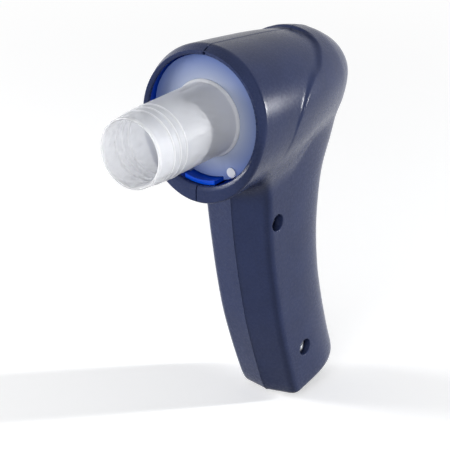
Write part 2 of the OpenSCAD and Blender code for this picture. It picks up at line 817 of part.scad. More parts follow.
housing_left();
housing_right();
socket_liner();
flow_duct();
duct_seal();
exhaust_ring();
release_tab();
hinge_pin();
tab_spring();
port_manifold();
port_seals();
pressure_hose_left();
pressure_hose_right();
pressure_sensor();
main_board();
board_chips();
usb_socket();
board_screws();
housing_screws();
screw_inserts();
transducer_front();
transducer_rear();
flow_screen();
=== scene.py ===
"""Handheld spirometer: smooth housing, frosted breathing tube, materials, light and camera."""

import math

import bmesh
import bpy
import numpy as np
from mathutils import Matrix, Vector


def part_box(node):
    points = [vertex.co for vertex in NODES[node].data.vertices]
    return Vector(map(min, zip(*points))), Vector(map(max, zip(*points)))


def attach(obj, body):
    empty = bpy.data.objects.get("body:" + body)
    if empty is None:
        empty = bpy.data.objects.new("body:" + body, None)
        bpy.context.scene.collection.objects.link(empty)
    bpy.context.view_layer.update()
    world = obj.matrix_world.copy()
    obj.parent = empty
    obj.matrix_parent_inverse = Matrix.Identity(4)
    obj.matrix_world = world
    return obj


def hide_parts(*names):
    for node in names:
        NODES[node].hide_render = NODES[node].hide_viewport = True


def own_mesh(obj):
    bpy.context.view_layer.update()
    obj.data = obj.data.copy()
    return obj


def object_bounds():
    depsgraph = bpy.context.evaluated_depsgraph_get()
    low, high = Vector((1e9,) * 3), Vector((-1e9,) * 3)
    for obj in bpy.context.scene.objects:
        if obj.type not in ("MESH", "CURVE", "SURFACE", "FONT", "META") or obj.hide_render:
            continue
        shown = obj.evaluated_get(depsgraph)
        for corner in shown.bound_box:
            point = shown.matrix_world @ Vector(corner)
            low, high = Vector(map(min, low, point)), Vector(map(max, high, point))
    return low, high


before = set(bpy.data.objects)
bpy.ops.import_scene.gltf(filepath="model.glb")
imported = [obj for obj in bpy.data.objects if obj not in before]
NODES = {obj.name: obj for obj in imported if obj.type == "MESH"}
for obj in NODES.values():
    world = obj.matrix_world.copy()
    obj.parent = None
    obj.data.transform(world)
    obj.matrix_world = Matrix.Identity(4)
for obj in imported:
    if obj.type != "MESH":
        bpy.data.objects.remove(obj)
CAD_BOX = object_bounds()

# Units: sizes below are in millimetres, in the frame of the CAD model
MM = 0.001

# Barrel
RIM_HALF_W = 31.6
RIM_HALF_H = 33.7
RIM_DROP = 1.9
RIM_Y = -3.0
RIM_TILT = 8.5
OPENING_R = 27.9
OPENING_Y = -5.5
OPENING_TILT = 5.3
LIP = 1.8
LIP_DEPTH = 0.75
# Share of a drop along the flow axis that counts as distance from the slanted rim face
RIM_SLANT = 0.8
NOTCH_R = 0.7
NOTCH_BACK = 1.0
BARREL_LEN = 86.0
REAR_END = RIM_Y + BARREL_LEN
REAR_STEP = 0.8
WALL = 2.2
# Place along the barrel, then half width, top and bottom as shares of the rim's half sizes
BARREL_SHARES = [
    (-0.06, 1.0, 0.983, 1.056), (0.08, 0.995, 0.936, 1.03), (0.20, 0.985, 0.896, 0.99),
    (0.36, 0.955, 0.841, 0.93), (0.50, 0.905, 0.792, 0.86), (0.62, 0.84, 0.74, 0.78),
    (0.74, 0.755, 0.668, 0.68), (0.86, 0.65, 0.58, 0.56),
]
# The barrel's own form stops inside the rear flow, with a soft end
BARREL_STOP = 0.85
BARREL_STOP_EDGE = 4.0
REAR_SHARES = [
    (0.20, 0.985, 0.872, 0.99), (0.36, 0.955, 0.836, 0.93), (0.50, 0.905, 0.792, 0.87),
    (0.62, 0.848, 0.742, 0.80), (0.745, 0.768, 0.693, 0.77), (0.86, 0.668, 0.615, 0.72),
    (0.94, 0.563, 0.508, 0.66), (0.985, 0.480, 0.436, 0.60), (1.01, 0.410, 0.380, 0.52),
]
# Front edge of the rear flow in side view: shares of the barrel's length and half height
EDGE_SHARES = [
    (0.745, 1.2), (0.743, 0.69), (0.737, 0.656), (0.715, 0.58), (0.66, 0.495), (0.584, 0.40),
    (0.495, 0.347), (0.397, 0.214), (0.308, -0.03), (0.262, -0.326), (0.24, -0.52),
    (0.235, -0.8), (0.27, -1.4),
]
# The step at that edge fades out between these heights
STEP_FULL_Z = 7.0
STEP_GONE_Z = -9.0

# Handle
HANDLE_HALF_W = 16.5
HANDLE_DROP = 145.0
HANDLE_REACH = 84.0
# Stations from the top down: front y, front z, back y, back z, half width
HANDLE_SHARES = [
    (0.095, 0.097, 1.00, 0.07, 1.24), (0.143, 0.193, 0.945, 0.18, 1.11),
    (0.190, 0.276, 0.869, 0.27, 1.06), (0.208, 0.359, 0.837, 0.36, 1.03),
    (0.238, 0.469, 0.824, 0.476, 1.0), (0.283, 0.593, 0.839, 0.60, 0.995),
    (0.336, 0.717, 0.885, 0.717, 0.98), (0.407, 0.838, 0.947, 0.831, 0.95),
    (0.471, 0.934, 0.992, 0.900, 0.92), (0.502, 0.972, 0.99, 0.926, 0.90),
    (0.53, 0.995, 0.955, 0.948, 0.87),
]
# Section of the handle: rise of the shallow V at its front, where its back curve starts, and
# the power of that curve
V_RISE = 0.072
BACK_START = 0.35
BACK_POWER = 3.0
# Roundings
LEAST_FILLET = 0.5
FILLET = 9.0
FILLET_FULL_Y = 32.0
FILLET_GONE_Y = 58.0
NECK_FILLET = 2.5
SIDE_EDGE = 3.2
RIM_EDGE = 1.1
BEVEL_EDGE = 0.35
BASE_EDGE = 2.2
END_EDGE = 2.0
STEP_EDGE = 1.0
STEP_BLEND = 1.8
LOW_BLEND = 1.0
LOW_BLEND_GONE_Z = -34.0
LEAST_BLEND = 0.02
OPENING_EDGE = 0.5
RECESS_EDGE = 0.45

# Screws and their recesses: height, distance behind the handle's front
SCREWS = [(-52.6, 10.0), (-121.0, 17.5)]
RECESS_R = 3.8
RECESS_FLOOR = 11.2
BOSS_R = 5.0

# Parting line between the housing halves: a fine raised line, but a groove across the rim
SEAM_HALF_W = 0.36
SEAM_RISE = 0.18
SEAM_GROOVE = 1.0
# The groove runs ahead of this place and outside the opening, less a small reach
SEAM_RIM_Y = 0.5
SEAM_RIM_REACH = 1.0
# Points of the parting face this close to the outer skin are its edge
SEAM_NEAR = 0.12

# Room that the housing's meshes are searched in, their grid steps, and how far apart two
# neighbouring normals may point, in degrees, before an edge is split
SHELL_LOW = (-37, -14, -150)
SHELL_HIGH = (37, 89, 38)
SHELL_STEP, QUICK_STEP, ROOM_STEP = 0.9, 1.0, 1.4
SHELL_BEND = 9
SHELL_LEVELS, QUICK_LEVELS = 3, 1
# Edges sharper than this stay hard when the housing is shaded smooth
HOUSING_ANGLE = 38
# Boxes that cut the shell reach past it on all sides
FAR_LOW = (-60, -60, -200)
FAR_HIGH = (60, 120, 60)

# Socket, duct and exhaust inside the housing
LINER_R = 29.4
LINER_BACK_R = 27.4
LIP_BACK = 2.3
DUCT_FRONT = 14.0
DUCT_R = 19.1
DUCT_END = 62.1
PIPE_R = 13.8
PIPE_EDGE = 0.5
# Clearances round the data socket, and how deep its slot is cut below it
USB_SIDE = 0.1
USB_ROOM = 0.3
USB_CUT = 9

# Breathing tube
MOUTH_LEN = 52.5
TUBE_R = 16.0
MOUTH_R = 15.2
TAPER_LEN = 20.0
BORE_R = 14.3
FLANGE_R = 27.4
FLANGE_T = 1.8
BASE_RING = 0.9
RING_FIRST = 9.3
RING_PITCH = 3.95
RING_COUNT = 3
RING_H = 0.4
RING_W = 1.0
# Section of a grip ring: places along it and heights, as shares of its width and height
RING_SHARES = [(-0.6, 0), (-0.3, 0.8), (0, 1), (0.3, 0.8), (0.6, 0)]
# Collar behind the flange, which the rear half of the tube plugs into
COLLAR_R = 17.8
COLLAR_BORE_R = 16.4
COLLAR_END = 8
COLLAR_SEAT = 3
TUBE_EDGE = 0.35
# Pressure ports on the back of the flange
PORT_X = 12.5
PORT_Z = -21.65
PORT_R = 2.2
PORT_BORE_R = 1.7
PORT_END = 7.8
PORT_CUT = 9
# Notch in the flange for the release tab
FLANGE_NOTCH_R = 25.6
FLANGE_NOTCH_HALF_W = 8.3


# Curves through the tables
def hermite(keys, rows, x):
    """Smooth curve through rows at keys, evaluated at x; straight beyond the ends."""
    keys, rows = np.asarray(keys, float), np.asarray(rows, float)
    slope = np.gradient(rows, keys)
    i = np.clip(np.searchsorted(keys, x) - 1, 0, len(keys) - 2)
    width = keys[i + 1] - keys[i]
    t = (x - keys[i]) / width
    inside = np.clip(t, 0, 1)
    a, b = inside * inside * (3 - 2 * inside), inside * (1 - inside)
    value = rows[i] * (1 - a) + rows[i + 1] * a
    value += width * b * (slope[i] * (1 - inside) - slope[i + 1] * inside)
    end_slope = np.where(t < 0, slope[0], slope[-1])
    return value + (t - inside) * width * end_slope


def smooth_max(a, b, k):
    h = np.maximum(k - np.abs(a - b), 0) / k
    return np.maximum(a, b) + h * h * k / 4


def smooth_min(a, b, k):
    return -smooth_max(-a, -b, k)


def barrel_y(share):
    return RIM_Y + share * BARREL_LEN


LOFT_Y = np.arange(-14, 94, 0.25)


def loft(table, step):
    """Signed distance to a loft of half ovals along the flow axis; step(z) swells it."""
    keys = [barrel_y(row[0]) for row in table]
    halves = [RIM_HALF_W, RIM_HALF_H, RIM_HALF_H]
    lines = [[row[c + 1] * halves[c] for row in table] for c in range(3)]
    tables = [hermite(keys, line, LOFT_Y) for line in lines]

    def distance(x, y, z):
        w, top, bottom = (np.interp(y, LOFT_Y, t) + step(z) for t in tables)
        h = np.where(z > 0, top, bottom)
        q = np.sqrt((x / w) ** 2 + (z / h) ** 2) + 1e-6
        return (q - 1) * q / (np.sqrt(x * x / w ** 4 + z * z / h ** 4) + 1e-6)

    return distance


# Tables over the side view, filled once and read by interpolation
CURVE_POINTS = 600
EDGE_POINTS = 260
HALVINGS = 24
SIDE_STEP = 0.4
SIDE_Y = np.arange(-16, 96, SIDE_STEP)
SIDE_Z = np.arange(-156, 44, SIDE_STEP)


def side_lookup(values):
    def read(y, z):
        u = np.clip((y - SIDE_Y[0]) / SIDE_STEP, 0, len(SIDE_Y) - 1.001)
        v = np.clip((z - SIDE_Z[0]) / SIDE_STEP, 0, len(SIDE_Z) - 1.001)
        i, j = u.astype(int), v.astype(int)
        u, v = u - i, v - j
        low = values[i, j] * (1 - u) + values[i + 1, j] * u
        high = values[i, j + 1] * (1 - u) + values[i + 1, j + 1] * u
        return low * (1 - v) + high * v

    return read


def edge_table():
    """Signed distance in side view to the rear flow's front edge, positive ahead of it."""
    y, z = np.meshgrid(SIDE_Y, SIDE_Z, indexing="ij")
    keys = np.arange(len(EDGE_SHARES))
    t = np.linspace(0, len(EDGE_SHARES) - 1, EDGE_POINTS)
    ey = hermite(keys, [barrel_y(s[0]) for s in EDGE_SHARES], t)
    ez = hermite(keys, [s[1] * RIM_HALF_H for s in EDGE_SHARES], t)
    near = np.full(y.shape, 1e9)
    for a, b in zip(ey, ez):
        np.minimum(near, (y - a) ** 2 + (z - b) ** 2, out=near)
    ahead = y < np.interp(z, ez[::-1], ey[::-1])
    return np.where(ahead, 1, -1) * np.sqrt(near)


def handle_tables():
    """For each point of the side view: share of the handle's depth, depth, half width and
    distance above the first and below the last station."""
    y, z = np.meshgrid(SIDE_Y, SIDE_Z, indexing="ij")
    rows = np.array(HANDLE_SHARES)
    keys = np.arange(len(rows))
    t = np.linspace(-0.5, len(rows) - 0.5, CURVE_POINTS)
    fy, by = (hermite(keys, rows[:, c] * HANDLE_REACH, t) for c in (0, 2))
    fz, bz = (hermite(keys, -rows[:, c] * HANDLE_DROP, t) for c in (1, 3))
    half = hermite(keys, rows[:, 4] * HANDLE_HALF_W, t)
    low, high = np.full(y.shape, t[0]), np.full(y.shape, t[-1])
    for _ in range(HALVINGS):
        s = (low + high) / 2
        a, b = np.interp(s, t, fy), np.interp(s, t, fz)
        c, d = np.interp(s, t, by), np.interp(s, t, bz)
        below = (c - a) * (z - b) - (d - b) * (y - a) < 0
        low, high = np.where(below, s, low), np.where(below, high, s)
    a, b = np.interp(s, t, fy), np.interp(s, t, fz)
    c, d = np.interp(s, t, by), np.interp(s, t, bz)
    depth = np.hypot(c - a, d - b)
    share = ((y - a) * (c - a) + (z - b) * (d - b)) / depth ** 2
    ends = []
    for row, sign in ((rows[0], 1), (rows[-1], -1)):
        a, b = row[0] * HANDLE_REACH, -row[1] * HANDLE_DROP
        c, d = row[2] * HANDLE_REACH, -row[3] * HANDLE_DROP
        ends.append(sign * ((c - a) * (z - b) - (d - b) * (y - a)) / math.hypot(c - a, d - b))
    return share, depth, np.interp(s, t, half), ends[0], ends[1]


def fade(value, none, full):
    t = np.clip((value - none) / (full - none), 0, 1)
    return t * t * (3 - 2 * t)


barrel_loft = loft(BARREL_SHARES, lambda z: 0)
rear_loft = loft(REAR_SHARES, lambda z: REAR_STEP * fade(z, STEP_GONE_Z, STEP_FULL_Z))
edge_distance = side_lookup(edge_table())
handle_share, handle_depth, handle_half, handle_top, handle_base = map(side_lookup, handle_tables())


def handle_field(x, y, z):
    share, depth, half = handle_share(y, z), handle_depth(y, z), handle_half(y, z)
    side = np.abs(x)
    slope = V_RISE * depth / half
    front = (slope * side - share * depth) / np.sqrt(1 + slope * slope)
    back = np.maximum(share - BACK_START, 0) / (1 - BACK_START)
    q = (back ** BACK_POWER + (side / half) ** BACK_POWER) ** (1 / BACK_POWER) + 1e-6
    grade = np.hypot((back / q) ** (BACK_POWER - 1) / ((1 - BACK_START) * depth),
                     (side / half / q) ** (BACK_POWER - 1) / half)
    section = smooth_max(front, (q - 1) / (grade + 1e-6), SIDE_EDGE)
    return smooth_max(np.maximum(section, handle_top(y, z)), handle_base(y, z), BASE_EDGE)


def rim_field(x, y, z):
    """Positive ahead of the rim: an inner bevel, then a face that slopes back to the outer edge."""
    r = np.hypot(x, z) + 1e-6
    reach = r / np.hypot(x / RIM_HALF_W, (z + RIM_DROP) / RIM_HALF_H)
    lip = OPENING_R + LIP
    t = np.clip((r - lip) / np.maximum(reach - lip, 1), 0, 1)
    opening = OPENING_Y + z * math.tan(math.radians(OPENING_TILT))
    rim = RIM_Y + (z + RIM_DROP) * math.tan(math.radians(RIM_TILT))
    face = (opening * (1 - t) + rim * t - y) * RIM_SLANT
    inner = np.clip((lip - r) / LIP, 0, 1)
    bevel = (opening + LIP_DEPTH * inner - y) * RIM_SLANT
    return smooth_max(face, bevel, BEVEL_EDGE)


def shell_field(x, y, z):
    """The housing's outer form with nothing cut out of it."""
    handle = handle_field(x, y, z)
    barrel = smooth_max(barrel_loft(x, y, z), y - barrel_y(BARREL_STOP), BARREL_STOP_EDGE)
    body = smooth_min(barrel, handle, LEAST_FILLET + FILLET * fade(y, FILLET_GONE_Y, FILLET_FULL_Y))
    flow = smooth_min(smooth_max(rear_loft(x, y, z), y - REAR_END, END_EDGE), handle, NECK_FILLET)
    flow = smooth_max(flow, edge_distance(y, z), STEP_EDGE)
    blend = LOW_BLEND * fade(z, LOW_BLEND_GONE_Z, STEP_GONE_Z)
    blend += STEP_BLEND * fade(z, STEP_GONE_Z, STEP_FULL_Z)
    joined = smooth_min(body, flow, LEAST_BLEND + blend)
    return smooth_max(joined, rim_field(x, y, z), RIM_EDGE)


def front_y(z):
    rows = np.array(HANDLE_SHARES)
    return np.interp(-z, rows[:, 1] * HANDLE_DROP, rows[:, 0] * HANDLE_REACH)


SCREW_PLACES = [(front_y(z) + inset, z) for z, inset in SCREWS]


def outer_field(x, y, z):
    field = shell_field(x, y, z)
    hole = np.maximum(np.hypot(x, z) - OPENING_R, y - DUCT_FRONT)
    field = smooth_max(field, -hole, OPENING_EDGE)
    notch = np.maximum(np.hypot(x, z - OPENING_R - LIP / 2) - NOTCH_R, y - NOTCH_BACK)
    field = smooth_max(field, -notch, OPENING_EDGE)
    for sy, sz in SCREW_PLACES:
        recess = np.maximum(np.hypot(y - sy, z - sz) - RECESS_R, RECESS_FLOOR - x)
        field = smooth_max(field, -recess, RECESS_EDGE)
    return field


def cavity_field(x, y, z):
    """The room inside the housing, with its screw bosses left standing."""
    field = np.maximum(shell_field(x, y, z) + WALL, y - REAR_END + WALL)
    for sy, sz in SCREW_PLACES:
        field = np.maximum(field, BOSS_R - np.hypot(y - sy, z - sz))
    return field


# Meshes of a field's zero level. A point moves no further than MAX_MOVE towards it in one round,
# and an edge is split only while it is longer than a share of the step at its level.
MIN_SLOPE_SQUARED = 0.05
MAX_MOVE = 0.6
SPLIT_SHARE = 0.7


def gradient(field, p, eps=0.02):
    steps = np.eye(3) * eps
    return np.stack([(field(*(p + s).T) - field(*(p - s).T)) / (2 * eps) for s in steps], axis=1)


def project(field, p, rounds=3):
    for _ in range(rounds):
        g = gradient(field, p)
        length = np.maximum((g * g).sum(1), MIN_SLOPE_SQUARED)
        move = (field(*p.T) / length)[:, None] * g
        p = p - np.clip(move, -MAX_MOVE, MAX_MOVE)
    return p


def surface_net(field, low, high, step):
    """Quads round the zero level of a field, one point in each grid cell that it crosses."""
    axes = [np.arange(a, b + step, step) for a, b in zip(low, high)]
    values = field(*np.meshgrid(*axes, indexing="ij"))
    cells = tuple(n - 1 for n in values.shape)
    total, count = np.zeros(cells + (3,)), np.zeros(cells)
    crossings = []
    for axis in range(3):
        order = [axis, (axis + 1) % 3, (axis + 2) % 3]
        v = values.transpose(order)
        a, b = v[:-1], v[1:]
        cross = (a < 0) != (b < 0)
        i, j, k = np.nonzero(cross)
        t = a[cross] / (a[cross] - b[cross])
        place = np.zeros((len(i), 3))
        place[:, order[0]], place[:, order[1]], place[:, order[2]] = i + t, j, k
        crossings.append((order, i, j, k, a[cross] < 0))
        for dj in (0, 1):
            for dk in (0, 1):
                cell = np.zeros((len(i), 3), int)
                cell[:, order[0]], cell[:, order[1]], cell[:, order[2]] = i, j - dj, k - dk
                ok = ((cell >= 0) & (cell < cells)).all(1)
                spot = tuple(cell[ok].T)
                np.add.at(total, spot, place[ok])
                np.add.at(count, spot, 1)
    used = count > 0
    number = np.full(cells, -1)
    number[used] = np.arange(used.sum())
    points = total[used] / count[used][:, None] * step + np.array(low)
    quads = []
    for order, i, j, k, outward in crossings:
        corner = []
        for dj, dk in ((1, 1), (0, 1), (0, 0), (1, 0)):
            cell = np.zeros((len(i), 3), int)
            cell[:, order[0]], cell[:, order[1]], cell[:, order[2]] = i, j - dj, k - dk
            corner.append(number[tuple(np.clip(cell, 0, np.array(cells) - 1).T)])
        quad = np.stack(corner, axis=1)
        quads.append(np.where(outward[:, None], quad, quad[:, ::-1]))
    return points, np.concatenate(quads)


def new_object(name, mesh):
    obj = bpy.data.objects.new(name, mesh)
    bpy.context.scene.collection.objects.link(obj)
    return obj


def mesh_from(name, points, faces):
    mesh = bpy.data.meshes.new(name)
    mesh.from_pydata([tuple(p) for p in points * MM], [], [tuple(int(i) for i in f) for f in faces])
    mesh.update()
    return mesh


def read_points(bm):
    return np.array([v.co for v in bm.verts], float) / MM


def write_points(bm, points):
    for v, p in zip(bm.verts, points * MM):
        v.co = p


def field_mesh(name, field, low, high, step, bend=None, levels=0):
    """A closed mesh of a field, split finer where its surface bends by more than an angle."""
    points, quads = surface_net(field, low, high, step)
    mesh = mesh_from(name, project(field, points), quads)
    bm = bmesh.new()
    bm.from_mesh(mesh)
    for level in range(levels):
        bmesh.ops.triangulate(bm, faces=bm.faces[:], quad_method="SHORT_EDGE")
        bm.verts.ensure_lookup_table()
        bm.verts.index_update()
        points = read_points(bm)
        normals = gradient(field, points)
        normals /= np.linalg.norm(normals, axis=1)[:, None] + 1e-9
        pairs = np.array([(e.verts[0].index, e.verts[1].index) for e in bm.edges])
        cosine = (normals[pairs[:, 0]] * normals[pairs[:, 1]]).sum(1)
        turn = np.degrees(np.arccos(np.clip(cosine, -1, 1)))
        length = np.linalg.norm(points[pairs[:, 0]] - points[pairs[:, 1]], axis=1)
        chosen = (turn > bend) & (length > step / 2 ** (level + 1) * SPLIT_SHARE)
        edges = [e for e, c in zip(bm.edges, chosen) if c]
        bmesh.ops.subdivide_edges(bm, edges=edges, cuts=1, use_single_edge=True)
        bm.verts.ensure_lookup_table()
        write_points(bm, project(field, read_points(bm), 2))
    bmesh.ops.triangulate(bm, faces=[f for f in bm.faces if len(f.verts) > 4])
    bm.to_mesh(mesh)
    bm.free()
    return mesh


def lathe(name, outline, steps=144):
    """A closed solid of an outline of (radius, y) points turned round the flow axis."""
    outline = np.array(outline, float)
    angles = np.arange(steps) * 2 * math.pi / steps
    points = np.array([(r * math.cos(a), y, r * math.sin(a)) for a in angles for r, y in outline])
    n = len(outline)
    faces = []
    for s in range(steps):
        for k in range(n):
            a, b = s * n + k, s * n + (k + 1) % n
            c, d = (b + n) % (steps * n), (a + n) % (steps * n)
            faces.append((a, b, c, d))
    mesh = mesh_from(name, points, faces)
    bm = bmesh.new()
    bm.from_mesh(mesh)
    bmesh.ops.remove_doubles(bm, verts=bm.verts[:], dist=1e-7)
    bmesh.ops.recalc_face_normals(bm, faces=bm.faces[:])
    bm.to_mesh(mesh)
    bm.free()
    return new_object(name, mesh)


def rounded(outline, radius, points=4):
    """A closed outline with its corners rounded."""
    outline = [np.array(p, float) for p in outline]
    result = []
    for i, corner in enumerate(outline):
        before, after = outline[i - 1] - corner, outline[(i + 1) % len(outline)] - corner
        reach = min(radius, 0.45 * np.linalg.norm(before), 0.45 * np.linalg.norm(after))
        a = corner + before / np.linalg.norm(before) * reach
        b = corner + after / np.linalg.norm(after) * reach
        for t in np.linspace(0, 1, points):
            result.append(a * (1 - t) ** 2 + corner * 2 * t * (1 - t) + b * t * t)
    return result


def box_object(name, low, high):
    mesh = bpy.data.meshes.new(name)
    bm = bmesh.new()
    bmesh.ops.create_cube(bm, size=1)
    low, high = np.array(low) * MM, np.array(high) * MM
    for v in bm.verts:
        v.co = Vector((low + high) / 2 + np.array(v.co) * (high - low))
    bm.to_mesh(mesh)
    bm.free()
    return new_object(name, mesh)


def rod_object(name, r, y0, y1, x, z, steps=48):
    rod = lathe(name, [(0, y0), (r, y0), (r, y1), (0, y1)], steps)
    rod.data.transform(Matrix.Translation(Vector((x, 0, z)) * MM))
    return rod


def combine(target, other, operation):
    """Applies one boolean to target and removes the other object."""
    modifier = target.modifiers.new("cut", "BOOLEAN")
    modifier.operation = operation
    modifier.solver = "MANIFOLD"
    modifier.object = other
    mesh = bpy.data.meshes.new_from_object(target.evaluated_get(bpy.context.evaluated_depsgraph_get()))
    target.modifiers.clear()
    target.data = mesh
    bpy.data.objects.remove(other)


def shade(obj, material, body, angle=32):
    """Smooth shading with real edges kept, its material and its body."""
    obj.data.materials.clear()
    obj.data.materials.append(material)
    for polygon in obj.data.polygons:
        polygon.use_smooth = True
    obj.data.set_sharp_from_angle(angle=math.radians(angle))
    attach(obj, body)
    return obj


# Materials
def nodes_of(name):
    material = bpy.data.materials.new(name)
    material.use_nodes = True
    tree = material.node_tree
    return material, tree, tree.nodes["Principled BSDF"]


def noise(tree, scale, detail=2, roughness=0.5):
    coordinates = tree.nodes.new("ShaderNodeTexCoord")
    texture = tree.nodes.new("ShaderNodeTexNoise")
    texture.inputs["Scale"].default_value = scale
    texture.inputs["Detail"].default_value = detail
    texture.inputs["Roughness"].default_value = roughness
    tree.links.new(coordinates.outputs["Object"], texture.inputs["Vector"])
    return texture.outputs["Fac"]


def ramp(tree, value, low, high, start=0.35, end=0.65):
    node = tree.nodes.new("ShaderNodeValToRGB")
    node.color_ramp.elements[0].position = start
    node.color_ramp.elements[1].position = end
    node.color_ramp.elements[0].color = (*low, 1)
    node.color_ramp.elements[1].color = (*high, 1)
    tree.links.new(value, node.inputs["Fac"])
    return node.outputs["Color"]


def bump(tree, shader, height, distance, strength=1.0):
    node = tree.nodes.new("ShaderNodeBump")
    node.inputs["Strength"].default_value = strength
    node.inputs["Distance"].default_value = distance
    tree.links.new(height, node.inputs["Height"])
    tree.links.new(node.outputs["Normal"], shader.inputs["Normal"])


def grey(value):
    return (value, value, value)


def plastic(name, colour, spread=0.12, rough=(0.36, 0.46), grain=1800, depth=0.02, specular=0.5):
    """Moulded plastic: a slightly uneven colour and gloss over a fine eroded grain."""
    material, tree, shader = nodes_of(name)
    low = tuple(c * (1 - spread) for c in colour)
    high = tuple(c * (1 + spread) for c in colour)
    tree.links.new(ramp(tree, noise(tree, 90, 3), low, high), shader.inputs["Base Color"])
    roughness = ramp(tree, noise(tree, 700, 2), grey(rough[0]), grey(rough[1]))
    tree.links.new(roughness, shader.inputs["Roughness"])
    shader.inputs["Specular IOR Level"].default_value = specular
    bump(tree, shader, noise(tree, grain, 2, 0.6), depth * MM)
    return material


FROST_COLOUR = (0.74, 0.76, 0.81)
FROST_ALPHA = 0.55
FROST_IOR = 1.3


def frosted_plastic(name, colour, transmission=0.0, rough=(0.30, 0.38), alpha=1.0, scatter=0.7, reach=5):
    """Translucent plastic: light scatters up to a reach in it, and what lies behind shows faintly."""
    material, tree, shader = nodes_of(name)
    low = tuple(c * 0.97 for c in colour)
    tree.links.new(ramp(tree, noise(tree, 120, 2), low, colour), shader.inputs["Base Color"])
    shader.inputs["Subsurface Weight"].default_value = scatter
    shader.inputs["Subsurface Radius"].default_value = grey(reach * MM)
    shader.inputs["Subsurface Scale"].default_value = 1.0
    roughness = ramp(tree, noise(tree, 500, 2), grey(rough[0]), grey(rough[1]))
    tree.links.new(roughness, shader.inputs["Roughness"])
    shader.inputs["Transmission Weight"].default_value = transmission
    shader.inputs["IOR"].default_value = FROST_IOR
    shader.inputs["Alpha"].default_value = alpha
    bump(tree, shader, noise(tree, 1500, 2), 0.006 * MM)
    return material


def metal(name, colour, rough=(0.24, 0.36), streak=400):
    material, tree, shader = nodes_of(name)
    low = tuple(c * 0.85 for c in colour)
    tree.links.new(ramp(tree, noise(tree, streak, 3), low, colour), shader.inputs["Base Color"])
    roughness = ramp(tree, noise(tree, streak * 2, 2), grey(rough[0]), grey(rough[1]))
    tree.links.new(roughness, shader.inputs["Roughness"])
    shader.inputs["Metallic"].default_value = 1.0
    bump(tree, shader, noise(tree, streak * 4, 2), 0.004 * MM)
    return material


NAVY = plastic("navy shell", (0.021, 0.031, 0.084), spread=0.06, rough=(0.24, 0.30), grain=1900,
               depth=0.04, specular=0.15)
LINER_BLUE = plastic("deep blue liner", (0.002, 0.035, 0.34), spread=0.1, rough=(0.28, 0.36),
                     grain=1500, depth=0.008, specular=0.4)
TAB_BLUE = plastic("bright blue tab", (0.0005, 0.055, 0.51), spread=0.08, rough=(0.28, 0.36),
                   grain=1500, depth=0.008, specular=0.2)
PALE = plastic("pale grey plastic", (0.56, 0.58, 0.62), spread=0.05, rough=(0.34, 0.44), grain=1500,
               depth=0.008, specular=0.4)
BLACK = plastic("black plastic", (0.022, 0.022, 0.025), spread=0.15, rough=(0.38, 0.5), depth=0.015)
RUBBER = plastic("black rubber", (0.016, 0.016, 0.017), spread=0.2, rough=(0.6, 0.75), grain=1200)
SILICONE = frosted_plastic("clear silicone", (0.86, 0.87, 0.88), transmission=0.5)
FROST = frosted_plastic("frosted moulding", FROST_COLOUR, alpha=FROST_ALPHA)


def tube_plastic_painted_light():
    """The moulding of the breathing tube, painted whiter and less see-through at its mouth, grip rings
    and base: painted highlights on the rings and a painted glow at both ends.
    """
    material = frosted_plastic("frosted tube with painted light", FROST_COLOUR, rough=(0.42, 0.50), scatter=0.9, reach=7)
    tree = material.node_tree
    shader = tree.nodes["Principled BSDF"]
    coordinates = tree.nodes.new("ShaderNodeTexCoord")
    axes = tree.nodes.new("ShaderNodeSeparateXYZ")
    place = tree.nodes.new("ShaderNodeMapRange")
    place.inputs["From Min"].default_value = -MOUTH_LEN * MM
    place.inputs["From Max"].default_value = 0
    tree.links.new(coordinates.outputs["Object"], axes.inputs["Vector"])
    tree.links.new(axes.outputs["Y"], place.inputs["Value"])
    painted_light_bands = tree.nodes.new("ShaderNodeValToRGB")
    # Painted light: how white it is at millimetres behind the mouth, for painted highlights on the grip
    # rings and a painted glow at the mouth and base
    painted_light_stops = [(0, 0.7), (0.8, 0.7), (1.8, 0)]
    for i in range(RING_COUNT):
        middle = RING_FIRST + i * RING_PITCH
        painted_light_stops += [(middle - 0.9, 0), (middle - 0.35, 1), (middle + 0.35, 1), (middle + 0.9, 0)]
    painted_light_stops += [(MOUTH_LEN - 20, 0), (MOUTH_LEN, 0.7)]
    ramp_stops = painted_light_bands.color_ramp.elements
    ramp_stops[0].position, ramp_stops[0].color = painted_light_stops[0][0] / MOUTH_LEN, (*grey(painted_light_stops[0][1]), 1)
    ramp_stops[1].position, ramp_stops[1].color = painted_light_stops[-1][0] / MOUTH_LEN, (*grey(painted_light_stops[-1][1]), 1)
    for along, value in painted_light_stops[1:-1]:
        ramp_stops.new(along / MOUTH_LEN).color = (*grey(value), 1)
    tree.links.new(place.outputs["Result"], painted_light_bands.inputs["Fac"])
    # Painted light: whiter and less see-through at the mouth, on the grip rings and at the base
    colour = ramp(tree, painted_light_bands.outputs["Color"], (0.80, 0.82, 0.88), (0.88, 0.895, 0.94), 0, 1)
    tree.links.new(colour, shader.inputs["Base Color"])
    alpha = ramp(tree, painted_light_bands.outputs["Color"], grey(FROST_ALPHA), grey(0.75), 0, 1)
    tree.links.new(alpha, shader.inputs["Alpha"])
    return material


TUBE = tube_plastic_painted_light()


